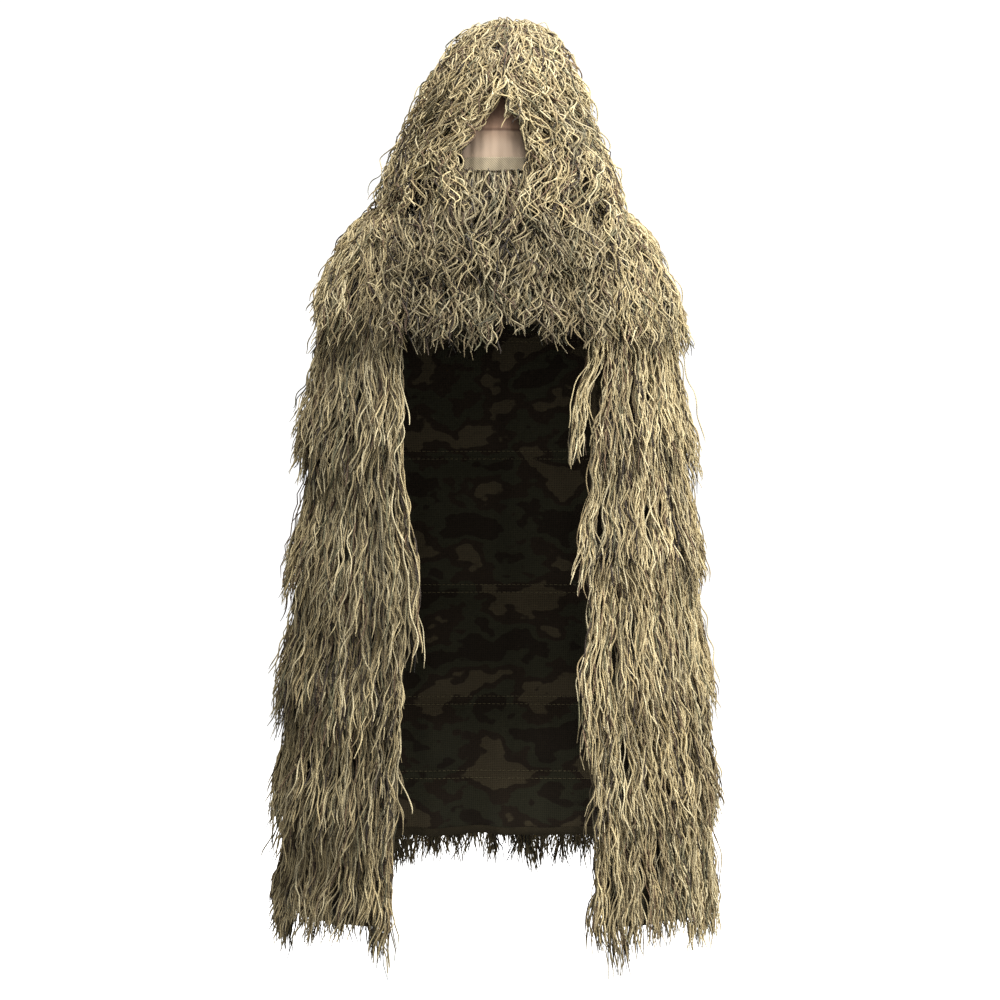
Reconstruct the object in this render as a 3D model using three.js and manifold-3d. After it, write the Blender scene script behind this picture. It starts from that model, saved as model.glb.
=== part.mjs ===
// Hooded ghillie cape in its worn shape: a hood with a face veil, a chest bib, a shoulder yoke, a back
// panel and two front panels, all covered by overlapping rows of hanging yarn fringe.
// Millimetres, +Z up, the wearer faces -Y, and "left" and "right" are the wearer's own.
// The origin is the neck seat, where the yoke rests on the wearer's shoulders.

import * as THREE from 'three';
import { mergeVertices } from 'three/addons/utils/BufferGeometryUtils.js';
import Module from 'manifold-3d';

const wasm = await Module();
wasm.setup();

// Heights in the tables below are above the lowest fringe ends; the group is lowered by this much.
const NECK_HEIGHT = 1250;

const CLOTH = 4;            // thickness given to a fabric panel
const VEIL_CLOTH = 2;       // thickness given to the thin face veil
const TAPE = 2.5;           // thickness of the sewn tapes and bindings
const GAP = 0.6;            // room left between neighbouring pieces

const PLAN_POWER = 2.5;     // squareness of the cape's plan, where 2 is an ellipse
const HOOD_POWER = 2.2;     // the same for the hood
const SEAM = 50;            // degrees from the middle of the back to a side seam

// The cape's fabric at each height: [height, half width, half depth, centre Y, half width of the front gap].
const CAPE = [
  [1264, 95, 85, 15, 45],
  [1246, 152, 106, 15, 62],
  [1222, 206, 125, 16, 82],
  [1185, 241, 140, 18, 110],
  [1140, 264, 148, 19, 134],
  [1090, 280, 152, 20, 154],
  [1034, 292, 154, 20, 168],
  [800, 314, 162, 20, 165],
  [500, 336, 168, 20, 165],
  [250, 350, 173, 20, 178],
  [0, 352, 176, 20, 190],
];

// The hood's fabric: [height, half width, half depth, centre Y, centre X]. It sits a little askew.
const HOOD = [
  [1556, 0, 0, 10, 18],
  [1549, 28, 32, 10, 18],
  [1532, 56, 66, 8, 17],
  [1504, 80, 98, 5, 14],
  [1470, 98, 124, 2, 11],
  [1436, 112, 134, 0, 11],
  [1370, 138, 146, 0, 9],
  [1300, 171, 155, 0, 5],
  [1240, 188, 161, 2, 3],
];

// The bib's fabric: [height, half width, Y at its middle].
const BIB = [
  [1284, 48, -126],
  [1240, 54, -140],
  [1224, 98, -149],
  [1204, 143, -156],
  [1160, 157, -166],
  [1100, 161, -174],
  [1050, 162, -178],
  [1000, 162, -180],
];
const BIB_WRAP = 42;        // how far the bib's sides fall back behind its middle

const YOKE_TOP = 1264;
const YOKE_BOTTOM = 1050;
const PANEL_TOP = 1034;
const PANEL_HEM = 30;
const BACK_HEM = 127;
const BIB_HEM = 1050;

const FACE_X = 9;           // middle of the face opening
const FACE_HALF = 72;       // half width of the face opening
const FACE_SPRING = 1370;   // height at which the opening begins to arch
const BROW = 1452;          // top of the face opening
const VEIL_TOP = 1443;
const VEIL_HEM = 1290;

// Fringe rows as [sewn edge, lower end]; each one's lower end covers the next one's sewn edge.
const SHOULDER_ROW = [1212, 1050];
const PANEL_ROWS = [[1034, 790], [825, 550], [625, 350], [425, 170], [230, 0]];
const BACK_ROWS = [[1034, 790], [820, 545], [578, 340], [374, 205], [240, 83]];
const HOOD_ROWS = [[1494, 1398], [1424, 1318], [1346, 1236]];
const CROWN_END = 1468;
const BIB_ROWS = [[1276, 1180], [1204, 1096], [1124, 1004]];

const SNAP_HEIGHTS = [1195, 1150, 1105];
const SNAP_RADIUS = 6;

// Finishes.
function finish(colour, roughness, metalness = 0) {
  return () => new THREE.MeshStandardMaterial({ color: colour, roughness, metalness });
}
const camoMesh = finish(0x3b3a27, 0.95);
const yarn = finish(0xa3946a, 1.0);
const yarnDark = finish(0x8b7f58, 1.0);
const veilMesh = finish(0xa98b72, 0.9);
const tape = finish(0x8a7d5c, 0.9);
const snapMetal = finish(0x2f2d28, 0.5, 0.7);

const garment = new THREE.Group();

function add(name, geometry, material) {
  const mesh = new THREE.Mesh(geometry, material());
  mesh.name = name;
  mesh.position.z = -NECK_HEIGHT;
  garment.add(mesh);
}

// ---- Tables and surfaces ------------------------------------------------------------------------

// One column of a table at a height, read along straight lines between its rows.
function at(table, height, column) {
  const last = table.length - 1;
  if (height >= table[0][0]) return table[0][column];
  if (height <= table[last][0]) return table[last][column];
  const low = table.findIndex((row) => row[0] <= height);
  const [above, below] = [table[low - 1], table[low]];
  const share = (above[0] - height) / (above[0] - below[0]);
  return above[column] + (below[column] - above[column]) * share;
}

function signedPower(value, power) {
  return Math.sign(value) * Math.abs(value) ** power;
}

// A point on a superellipse; the angle runs from the middle of the back (0) over the +X side (90).
function ringPoint(a, b, x, y, z, angle, power) {
  const t = THREE.MathUtils.degToRad(angle);
  return new THREE.Vector3(
    x + a * signedPower(Math.sin(t), 2 / power),
    y + b * signedPower(Math.cos(t), 2 / power),
    z,
  );
}

function capeSurface(height, angle) {
  const [a, b, y] = [1, 2, 3].map((column) => at(CAPE, height, column));
  return ringPoint(a, b, 0, y, height, angle, PLAN_POWER);
}

function hoodSurface(height, angle) {
  const [a, b, y, x] = [1, 2, 3, 4].map((column) => at(HOOD, height, column));
  return ringPoint(a, b, x, y, height, angle, HOOD_POWER);
}

// The angle at which a ring's front half stands at a distance x from its middle.
function frontAngle(halfWidth, x, power) {
  const share = Math.min(x / halfWidth, 1) ** (power / 2);
  return 180 - THREE.MathUtils.radToDeg(Math.asin(share));
}

function capeFrontAngle(height, x) {
  return frontAngle(at(CAPE, height, 1), x, PLAN_POWER);
}

// The hood's front at a place beside or above the face opening.
function hoodFront(x, height) {
  const [a, b, y, middle] = [1, 2, 3, 4].map((column) => at(HOOD, height, column));
  const share = Math.min(Math.abs(x - middle) / a, 1) ** HOOD_POWER;
  return y - b * (1 - share) ** (1 / HOOD_POWER);
}

// A surface point moved out along the surface's normal.
function offset(surface, height, angle, distance) {
  const along = surface(height, angle + 0.5).sub(surface(height, angle - 0.5));
  const down = surface(height - 5, angle).sub(surface(height + 5, angle));
  const normal = along.cross(down).normalize();
  const point = surface(height, angle);
  const middle = new THREE.Vector3(point.x * 0.5, 20, height - 60);
  if (normal.dot(point.clone().sub(middle)) < 0) normal.negate();
  return point.addScaledVector(normal, distance);
}

// ---- Solids -------------------------------------------------------------------------------------

// A closed solid between two grids of points. Each of outer and inner gives a point for a row share
// and a column number. A wrapped grid's last column meets its first.
function slab(rows, columns, outer, inner, wrapped = false) {
  const places = [];
  const numbers = new Map();
  const faces = [];

  function corner(point) {
    const key = point.toArray().map((value) => value.toFixed(3)).join();
    if (!numbers.has(key)) {
      numbers.set(key, places.length / 3);
      places.push(point.x, point.y, point.z);
    }
    return numbers.get(key);
  }

  function grid(points) {
    return rows.map((row) =>
      Array.from({ length: columns + 1 }, (_, c) => corner(points(row, wrapped ? c % columns : c))));
  }

  function quad(a, b, c, d) {
    for (const face of [[a, b, c], [a, c, d]]) {
      if (new Set(face).size === 3) faces.push(...face);
    }
  }

  const skin = grid(outer);
  const lining = grid(inner);
  const last = rows.length - 1;
  for (let r = 0; r < last; r++) {
    for (let c = 0; c < columns; c++) {
      quad(skin[r][c], skin[r + 1][c], skin[r + 1][c + 1], skin[r][c + 1]);
      quad(lining[r][c], lining[r][c + 1], lining[r + 1][c + 1], lining[r + 1][c]);
    }
    if (wrapped) continue;
    quad(skin[r][0], lining[r][0], lining[r + 1][0], skin[r + 1][0]);
    quad(skin[r][columns], skin[r + 1][columns], lining[r + 1][columns], lining[r][columns]);
  }
  for (let c = 0; c < columns; c++) {
    quad(skin[0][c], skin[0][c + 1], lining[0][c + 1], lining[0][c]);
    quad(skin[last][c], lining[last][c], lining[last][c + 1], skin[last][c + 1]);
  }

  const geometry = new THREE.BufferGeometry();
  geometry.setAttribute('position', new THREE.Float32BufferAttribute(places, 3));
  geometry.setIndex(volume(places, faces) < 0 ? faces.reverse() : faces);
  return geometry;
}

function volume(places, faces) {
  let total = 0;
  const [a, b, c] = [new THREE.Vector3(), new THREE.Vector3(), new THREE.Vector3()];
  for (let i = 0; i < faces.length; i += 3) {
    a.fromArray(places, faces[i] * 3);
    b.fromArray(places, faces[i + 1] * 3);
    c.fromArray(places, faces[i + 2] * 3);
    total += a.dot(b.cross(c));
  }
  return total;
}

function toSolid(geometry) {
  const bare = geometry.clone();
  bare.deleteAttribute('normal');
  bare.deleteAttribute('uv');
  const merged = mergeVertices(bare, 1e-3);
  return new wasm.Manifold(new wasm.Mesh({
    numProp: 3,
    vertProperties: merged.attributes.position.array,
    triVerts: new Uint32Array(merged.index.array),
  }));
}

function toGeometry(solid) {
  const mesh = solid.getMesh();
  const geometry = new THREE.BufferGeometry();
  geometry.setAttribute('position', new THREE.BufferAttribute(mesh.vertProperties, 3));
  geometry.setIndex(new THREE.BufferAttribute(mesh.triVerts, 1));
  return geometry;
}

// Heights of a surface's rows: the table's own between two limits, with the limits themselves.
function rowsBetween(table, top, bottom) {
  const inside = table.map((row) => row[0]).filter((height) => height < top - 4 && height > bottom + 4);
  return [top, ...inside, bottom];
}

// Fabric between two angles that may change with height.
function fabric(surface, heights, columns, from, to) {
  const angle = (height, c) => from(height) + (to(height) - from(height)) * (c / columns);
  return slab(
    heights,
    columns,
    (height, c) => offset(surface, height, angle(height, c), 0),
    (height, c) => offset(surface, height, angle(height, c), -CLOTH),
  );
}

// A fringe row's stages from its sewn edge to its ragged end: [height, outer offset, inner offset].
// It stays flat where the row above covers it, then bulges and leaves room for the next row's edge.
function fringeStages([top, end], cover, next, table) {
  const stages = [
    [top, 9, 3],
    [Math.min(cover, top - 12), 10.5, 3.5],
    [next + 8, 30, 12.5],
    [end, 36, 15],
  ];
  const bends = table.map((row) => row[0]).filter((height) =>
    stages.every((stage) => Math.abs(stage[0] - height) > 8) && height < top && height > end);
  const between = bends.map((height) => [height, at(stages, height, 1), at(stages, height, 2)]);
  return [...stages, ...between].sort((a, b) => b[0] - a[0]);
}

// The yarn gathers in clumps, so alternate columns stand out further and hang lower.
function clumped(stage, c) {
  const [height, outer, inner] = stage;
  const end = inner === 15;
  return {
    height: height + (end && c % 2 ? 10 : 0),
    outer: outer > 12 && c % 2 ? outer * 0.84 : outer,
    inner,
  };
}

function fringe(surface, stages, columns, from, to, wrapped = false) {
  const point = (stage, c, side) => {
    const clump = clumped(stage, c);
    const share = c / columns;
    const angle = from(clump.height) + (to(clump.height) - from(clump.height)) * share;
    return offset(surface, clump.height, angle, clump[side]);
  };
  return slab(
    stages,
    columns,
    (stage, c) => point(stage, c, 'outer'),
    (stage, c) => point(stage, c, 'inner'),
    wrapped,
  );
}

// Every row of a list as its own solid.
function fringeRows(name, surface, table, rows, firstCover, columns, from, to) {
  rows.forEach((row, i) => {
    const cover = i ? rows[i - 1][1] : firstCover;
    const next = i < rows.length - 1 ? rows[i + 1][0] : row[1] + 30;
    const stages = fringeStages(row, cover, next, table);
    add(`${name}_${i + 1}`, fringe(surface, stages, columns, from, to), i % 2 ? yarnDark : yarn);
  });
}

// ---- Back of the yoke, back panel and neck binding ------------------------------------------------

const gapAngle = (height) => capeFrontAngle(height, at(CAPE, height, 4));

add('neck_binding', slab([YOKE_TOP + GAP, YOKE_TOP + GAP + 9], 24,
  (height, c) => bandPoint(height, c, 1),
  (height, c) => bandPoint(height, c, -CLOTH - 1)), tape);

function bandPoint(height, c, out) {
  const angle = gapAngle(YOKE_TOP) * (c / 12 - 1);
  const [, a, b, y] = CAPE[0];
  return ringPoint(a + out, b + out, 0, y, height, angle, PLAN_POWER);
}

const backEdge = SEAM - 0.8;
const yokeRows = rowsBetween(CAPE, YOKE_TOP, YOKE_BOTTOM);
add('yoke_back', fabric(capeSurface, yokeRows, 12, () => -backEdge, () => backEdge), camoMesh);
add('back_panel', fabric(capeSurface, rowsBetween(CAPE, YOKE_BOTTOM - GAP, BACK_HEM), 12,
  () => -backEdge, () => backEdge), camoMesh);
add('back_hem_tape', fabric(capeSurface, [BACK_HEM - GAP, BACK_HEM - 13], 12,
  () => -backEdge, () => backEdge), tape);

const shoulderStages = fringeStages(SHOULDER_ROW, SHOULDER_ROW[0] - 20, PANEL_ROWS[0][0] + 38, CAPE);
add('shoulder_fringe_back', fringe(capeSurface, shoulderStages, 12,
  () => -backEdge, () => backEdge), yarn);
fringeRows('back_fringe', capeSurface, CAPE, BACK_ROWS, 1014, 12, () => -backEdge, () => backEdge);

// ---- Yoke sides and front panels, mirrored about the middle ---------------------------------------

for (const [name, side] of [['left', 1], ['right', -1]]) {
  const seam = () => side * (SEAM + 0.8);
  const edge = (inset) => (height) => side * capeFrontAngle(height, at(CAPE, height, 4) + inset);

  add(`yoke_${name}`, fabric(capeSurface, yokeRows, 14, seam, edge(0)), camoMesh);
  add(`shoulder_fringe_${name}`, fringe(capeSurface, shoulderStages, 12, seam,
    (height) => side * capeFrontAngle(height, 171)), yarn);
  add(`${name}_panel`, fabric(capeSurface, rowsBetween(CAPE, PANEL_TOP, PANEL_HEM), 14,
    seam, edge(0)), camoMesh);
  add(`${name}_hem_tape`, fabric(capeSurface, [PANEL_HEM - GAP, PANEL_HEM - 13], 14,
    seam, edge(0)), tape);
  add(`${name}_edge_binding`, slab(rowsBetween(CAPE, PANEL_TOP, PANEL_HEM), 1,
    (height, c) => offset(capeSurface, height, edge(-GAP - 10 * c)(height), 1.5),
    (height, c) => offset(capeSurface, height, edge(-GAP - 10 * c)(height), -CLOTH - 1.5)), tape);
  fringeRows(`${name}_fringe`, capeSurface, CAPE, PANEL_ROWS, 1014, 14, seam, edge(2));
}

// ---- Hood ---------------------------------------------------------------------------------------

// Half width of the face opening at a height: straight below, an elliptical arch above.
function faceHalf(height, grow = 0) {
  const rise = (height - FACE_SPRING) / (BROW + grow - FACE_SPRING);
  if (rise <= 0) return FACE_HALF + grow;
  return rise >= 1 ? 0 : (FACE_HALF + grow) * Math.sqrt(1 - rise * rise);
}

function archPoint(share, grow) {
  const foot = 1240;
  if (share < 0.25) return [FACE_HALF + grow, foot + (FACE_SPRING - foot) * share * 4];
  if (share > 0.75) return [-FACE_HALF - grow, foot + (FACE_SPRING - foot) * (1 - share) * 4];
  const turn = (share - 0.25) * 2 * Math.PI;
  return [
    (FACE_HALF + grow) * Math.cos(turn),
    FACE_SPRING + (BROW + grow - FACE_SPRING) * Math.sin(turn),
  ];
}

const arch = new THREE.Shape();
arch.moveTo(FACE_HALF, 1200);
for (let i = 0; i <= 12; i++) arch.lineTo(...archPoint(0.25 + i / 24, 0));
arch.lineTo(-FACE_HALF, 1200);
const archPrism = new THREE.ExtrudeGeometry(arch, { depth: 200, bevelEnabled: false, steps: 1 });
archPrism.rotateX(Math.PI / 2);
archPrism.translate(FACE_X, -60, 0);

const hoodDome = slab(HOOD.map((row) => row[0]), 26,
  (height, c) => hoodLayer(height, c, 0),
  (height, c) => hoodLayer(height, c, -CLOTH), true);

function hoodLayer(height, c, out) {
  if (height === HOOD[0][0]) return new THREE.Vector3(HOOD[0][4], HOOD[0][3], height + out);
  return offset(hoodSurface, height, (c * 360) / 26, out);
}

add('hood_shell', toGeometry(toSolid(hoodDome).subtract(toSolid(archPrism))), camoMesh);

const archShares = Array.from({ length: 21 }, (_, i) => i / 20);
const bindingPoint = (share, c, out) => {
  const [x, height] = archPoint(share, 1 + c * 13);
  return new THREE.Vector3(FACE_X + x, hoodFront(FACE_X + x, height) - out, height);
};
add('face_opening_binding', slab(archShares, 1,
  (share, c) => bindingPoint(share, c, 5 * GAP + TAPE),
  (share, c) => bindingPoint(share, c, 5 * GAP)), tape);

const CROWN = [HOOD[0][0], 1540, 1508, CROWN_END];
add('hood_fringe_crown', slab(CROWN, 24,
  (height, c) => crownPoint(height, c, 31),
  (height, c) => crownPoint(height, c, 15.5), true), yarn);

function crownPoint(height, c, end) {
  if (height === CROWN[0]) return new THREE.Vector3(HOOD[0][4], HOOD[0][3], height + end / 2 - 3);
  const ragged = height === CROWN_END && c % 2 ? 8 : 0;
  const share = (CROWN[0] - height) / (CROWN[0] - CROWN_END);
  const out = end * (0.5 + 0.5 * share) * (end > 12 && c % 2 ? 0.86 : 1);
  return offset(hoodSurface, height + ragged, (c * 360) / 24, out);
}

// The hood's rows stop at either side of the face opening.
const faceEdge = (side) => (height) => {
  const middle = at(HOOD, height, 4);
  const reach = Math.max(faceHalf(height, 20) + 2, 24) + side * (FACE_X - middle);
  return side * frontAngle(at(HOOD, height, 1), reach, HOOD_POWER);
};
fringeRows('hood_fringe', hoodSurface, HOOD, HOOD_ROWS, CROWN_END, 26, faceEdge(-1), faceEdge(1));

// ---- Face veil, hung in the opening from the brow -------------------------------------------------

const veilHalf = (height) => faceHalf(height) - 6;
const veilPoint = (height, share, out) => {
  const x = FACE_X + veilHalf(height) * share;
  return new THREE.Vector3(x, hoodFront(x, height) - out, height);
};
const across = (c, columns) => (c / columns) * 2 - 1;

add('face_veil', slab([VEIL_TOP, 1425, 1400, 1370, VEIL_HEM], 10,
  (height, c) => veilPoint(height, across(c, 10), 0),
  (height, c) => veilPoint(height, across(c, 10), -VEIL_CLOTH)), veilMesh);
add('veil_hem', slab([VEIL_HEM + 14, VEIL_HEM], 10,
  (height, c) => veilPoint(height, across(c, 10), GAP + TAPE),
  (height, c) => veilPoint(height, across(c, 10), GAP)), tape);
add('brow_fringe', slab([[VEIL_TOP - 2, 9, 2], [1415, 18, 5], [1378, 20, 8]], 8,
  ([height, out], c) => veilPoint(height - (height < 1400 && c % 2 ? 12 : 0), across(c, 8) * 0.94, out),
  ([height, , out], c) => veilPoint(height - (height < 1400 && c % 2 ? 12 : 0), across(c, 8) * 0.94, out)),
  yarn);

// ---- Bib, closed across the chest by three snaps ---------------------------------------------------

const bibPoint = (height, share, out) => {
  const x = at(BIB, height, 1) * share;
  return new THREE.Vector3(x, at(BIB, height, 2) + BIB_WRAP * (x / 160) ** 2 - out, height);
};

add('bib_flap', slab(rowsBetween(BIB, BIB[0][0], BIB_HEM), 12,
  (height, c) => bibPoint(height, across(c, 12), 0),
  (height, c) => bibPoint(height, across(c, 12), -CLOTH)), camoMesh);
add('bib_hem_tape', slab([BIB_HEM - GAP, BIB_HEM - 12], 12,
  (height, c) => bibPoint(height, across(c, 12), 0),
  (height, c) => bibPoint(height, across(c, 12), -CLOTH)), tape);

BIB_ROWS.forEach((row, i) => {
  const cover = i ? BIB_ROWS[i - 1][1] : row[0] - 22;
  const next = i < BIB_ROWS.length - 1 ? BIB_ROWS[i + 1][0] : row[1] + 40;
  const rows = fringeStages(row, cover, next, BIB);
  const place = (stage, c, side) => {
    const clump = clumped(stage, c);
    return bibPoint(clump.height, across(c, 12) * 0.97, clump[side]);
  };
  add(`bib_fringe_${i + 1}`, slab(rows, 12,
    (stage, c) => place(stage, c, 'outer'),
    (stage, c) => place(stage, c, 'inner')), i % 2 ? yarnDark : yarn);
});

// Each snap's stud stands on the yoke's front edge and its socket on the bib's back, along Y.
function disc(x, height, from, to) {
  const geometry = new THREE.CylinderGeometry(SNAP_RADIUS, SNAP_RADIUS, Math.abs(to - from), 12);
  geometry.translate(x, (from + to) / 2, height);
  return geometry;
}

SNAP_HEIGHTS.forEach((height, i) => {
  const x = at(CAPE, height, 4) + 7;
  const yokeFace = capeSurface(height, capeFrontAngle(height, x)).y;
  const bibFace = at(BIB, height, 2) + BIB_WRAP * (x / 160) ** 2 + CLOTH;
  const meet = (yokeFace + bibFace) / 2;
  add(`snap_stud_${i + 1}`, disc(x, height, yokeFace - 5.2, meet + 0.4), snapMetal);
  add(`snap_socket_${i + 1}`, disc(x, height, meet - 0.4, bibFace + 3.8), snapMetal);
});

export default garment;
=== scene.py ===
"""Hooded ghillie cape in its worn shape, standing empty: dark camouflage net fabric under overlapping
rows of hanging yarn, with a sheer face veil, a chest bib and two open front panels.
Metres, +Z up, the wearer faces -Y, and "left" and "right" are the wearer's own."""

import math

import bpy
import numpy as np
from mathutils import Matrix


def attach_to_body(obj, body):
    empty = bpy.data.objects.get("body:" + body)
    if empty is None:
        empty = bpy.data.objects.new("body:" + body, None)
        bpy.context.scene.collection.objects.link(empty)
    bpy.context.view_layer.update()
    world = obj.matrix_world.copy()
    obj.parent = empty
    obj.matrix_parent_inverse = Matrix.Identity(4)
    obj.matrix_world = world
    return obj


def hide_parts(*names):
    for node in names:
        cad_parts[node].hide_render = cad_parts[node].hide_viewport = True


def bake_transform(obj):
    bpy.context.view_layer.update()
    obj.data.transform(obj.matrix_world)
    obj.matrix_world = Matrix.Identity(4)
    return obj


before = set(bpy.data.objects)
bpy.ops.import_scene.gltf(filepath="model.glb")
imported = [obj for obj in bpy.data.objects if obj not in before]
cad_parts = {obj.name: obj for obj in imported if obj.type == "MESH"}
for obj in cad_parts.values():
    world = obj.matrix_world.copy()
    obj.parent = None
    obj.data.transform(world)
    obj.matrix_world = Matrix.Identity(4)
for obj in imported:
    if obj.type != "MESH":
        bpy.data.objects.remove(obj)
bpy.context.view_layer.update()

# ---- Camera ----------------------------------------------

LENS, SENSOR = 69.07, 36
CAMERA_PLACE = (0.005, -3.3, -0.416)
CAMERA_DIP = 1.49

camera_data = bpy.data.cameras.new("camera")
camera_data.lens = LENS
camera_data.sensor_width = SENSOR
camera = bpy.data.objects.new("camera", camera_data)
camera.location = CAMERA_PLACE
camera.rotation_euler = (math.radians(90 - CAMERA_DIP), 0, 0)
bpy.context.collection.objects.link(camera)
bpy.context.scene.camera = camera

# ---- Sizes -----------------------------------------------
# In millimetres unless a comment says metres. Heights are above the lowest fringe ends.

NECK_HEIGHT = 1250

# How square the garment's and the hood's outlines are from above: 2 is an ellipse.
PLAN_POWER = 2.5
HOOD_POWER = 2.2

# Degrees from the middle of the back round to each side seam
SEAM = 50

# [height, half width, half depth, centre Y, half width of the front gap]
CAPE = [
    [1264, 95, 85, 15, 45],
    [1246, 152, 106, 15, 62],
    [1222, 206, 125, 16, 82],
    [1185, 241, 140, 18, 110],
    [1140, 264, 148, 19, 134],
    [1090, 280, 152, 20, 154],
    [1034, 292, 154, 20, 168],
    [800, 314, 162, 20, 165],
    [500, 336, 168, 20, 165],
    [250, 350, 173, 20, 178],
    [0, 352, 176, 20, 190],
    [-60, 352, 176, 20, 190],
]

# [height, half width, half depth, centre Y, centre X]
HOOD = [
    [1556, 0, 0, 10, 18],
    [1549, 28, 32, 10, 18],
    [1532, 56, 66, 8, 17],
    [1504, 80, 98, 5, 14],
    [1470, 98, 124, 2, 11],
    [1436, 112, 134, 0, 11],
    [1370, 138, 146, 0, 9],
    [1300, 171, 155, 0, 5],
    [1240, 188, 161, 2, 3],
    [1190, 200, 166, 3, 2],
]

# [height, half width, Y at the middle]
BIB = [
    [1284, 48, -126],
    [1240, 54, -140],
    [1224, 98, -149],
    [1204, 143, -156],
    [1160, 157, -166],
    [1100, 161, -174],
    [1050, 162, -178],
    [980, 162, -181],
]
# How far the bib curves back towards its sides, and half the width that its yarn hangs in
BIB_WRAP = 42
BIB_HANG = 168

YOKE_TOP, YOKE_BOTTOM = 1264, 1050
PANEL_TOP, PANEL_HEM = 1034, 30
BACK_HEM = 127
BIB_TOP, BIB_HEM = 1284, 1050
HOOD_HEM = 1240

# The cloth of the back and front panels runs up under the yoke, and stops short of the hem line.
PANEL_TUCK, PANEL_LIFT = 24, 14
BACK_TUCK, BACK_LIFT = 3, 10

# The face opening: X of its middle, half width, height where its arch springs, and height of the arch
FACE_X, FACE_HALF, FACE_SPRING, BROW = 9, 72, 1370, 1452
VEIL_TOP, VEIL_HEM, VEIL_SEAM = 1443, 1290, 1357

# Where rows of yarn are sewn on and, in the second number or list, where they end
SHOULDER_HEADS = [1248, 1212]
PANEL_HEADS = [1052, 843, 643, 443, 248]
BACK_HEADS = [1044, 832, 590, 386, 250]
BACK_ENDS = [790, 545, 340, 205, 83]
CROWN_ROWS = [[1554, 1436], [1543, 1408], [1518, 1376]]
HOOD_ROWS = [[1494, 1348], [1424, 1270], [1346, 1206]]
BIB_ROWS = [[1280, 1172], [1208, 1088], [1128, 996]]

# For each panel row, on the wearer's left (1) and right (-1): the height of its ends, how much longer
# it gets towards the front edge, how far its locks hang past that edge and how far its ends stand out
# from the fabric, the last two in metres.
PANEL_ENDS = {
    1: [(806, 0.20, 0.055, 0.030), (612, 0.30, 0.032, 0.028), (380, 0.29, 0.030, 0.030),
        (178, 0.05, 0.020, 0.028), (18, 0.10, 0.030, 0.022)],
    -1: [(790, 0.08, 0.020, 0.036), (588, 0.60, 0.048, 0.042), (385, 0.28, 0.012, 0.042),
         (172, 0.04, 0.012, 0.042), (16, 0.04, 0.018, 0.036)],
}

# ---- Surfaces --------------------------------------------


def signed_power(value, power):
    return np.sign(value) * np.abs(value) ** power


def smoothstep(x, low=0.0, high=1.0):
    t = np.clip((x - low) / (high - low), 0, 1)
    return t * t * (3 - 2 * t)


def unit(vectors):
    return vectors / np.maximum(np.linalg.norm(vectors, axis=-1, keepdims=True), 1e-9)


class Surface:
    """A garment surface. Places on it are (down, round): metres down the side from its top, and the
    share of the way round from the middle of the back over the wearer's left. ratio is the depth of
    its outline over its width, and soften the metres over which its table is smoothed."""

    STEP = 0.004

    def __init__(self, table, power, ratio, soften):
        rows = np.array(table, float) / 1000
        run = np.hypot(np.diff(rows[:, 0]), np.diff(rows[:, 1]))
        along = np.concatenate([[0], np.cumsum(run)])
        self.down = np.arange(0, along[-1], self.STEP)
        columns = np.stack([np.interp(self.down, along, column) for column in rows.T])
        reach = max(1, round(soften / self.STEP))
        kernel = np.hanning(2 * reach + 3)[1:-1]
        padded = np.pad(columns, ((0, 0), (reach, reach)), "reflect", reflect_type="odd")
        self.columns = np.stack([np.convolve(c, kernel / kernel.sum(), "valid") for c in padded])
        self.power = power
        self.turns = np.linspace(0, 2 * math.pi, 2881)
        x = signed_power(np.sin(self.turns), 2 / power)
        y = signed_power(np.cos(self.turns), 2 / power) * ratio
        length = np.concatenate([[0], np.cumsum(np.hypot(np.diff(x), np.diff(y)))])
        self.shares = length / length[-1]

    def at(self, down, column):
        return np.interp(down, self.down, self.columns[column])

    def centre_x(self, down):
        """X of the outline's middle, which only the hood's table gives."""
        return self.at(down, 4) if self.power == HOOD_POWER else 0

    def drop(self, height):
        """How far down the side a height in millimetres is."""
        return np.interp(-height / 1000, -self.columns[0], self.down)

    def share_of_turn(self, degrees):
        return np.interp(math.radians(degrees), self.turns, self.shares)

    def front(self, down, x):
        """The share of the way round at which the front half passes x metres."""
        away = (x - self.centre_x(down)) / np.maximum(self.at(down, 1), 1e-4)
        turn = np.arcsin(np.clip(np.abs(away), 0, 1) ** (self.power / 2))
        return np.interp(math.pi - np.sign(away) * turn, self.turns, self.shares)

    def point(self, down, round_):
        turn = np.interp(round_ % 1, self.shares, self.turns)
        return np.stack([
            self.centre_x(down) + self.at(down, 1) * signed_power(np.sin(turn), 2 / self.power),
            self.at(down, 3) + self.at(down, 2) * signed_power(np.cos(turn), 2 / self.power),
            self.at(down, 0) - NECK_HEIGHT / 1000,
        ], -1)

    def place(self, down, round_, out):
        """A point moved out from the surface along its normal."""
        down, round_ = np.broadcast_arrays(down, round_)
        along = self.point(down, round_ + 0.004) - self.point(down, round_ - 0.004)
        fall = self.point(down + 0.006, round_) - self.point(np.maximum(down - 0.006, 0), round_)
        return self.point(down, round_) + unit(np.cross(along, fall)) * np.asarray(out)[..., None]


class BibSurface(Surface):
    """The bib is an open sheet: round_ runs from 0 at the wearer's left to 1 at the right."""

    def point(self, down, round_):
        x = self.at(down, 1) * (1 - 2 * round_)
        y = self.at(down, 2) + BIB_WRAP / 1000 * (x / 0.16) ** 2
        return np.stack(np.broadcast_arrays(x, y, self.at(down, 0) - NECK_HEIGHT / 1000), -1)


cape = Surface(CAPE, PLAN_POWER, 0.52, 0.03)
hood = Surface(HOOD, HOOD_POWER, 0.92, 0.03)
bib = BibSurface(BIB, PLAN_POWER, 1.0, 0.016)
# The bib's yarn hangs straight down, so its surface keeps one width.
bib_hang = BibSurface([[height, BIB_HANG, y] for height, _, y in BIB], PLAN_POWER, 1.0, 0.016)

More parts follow.
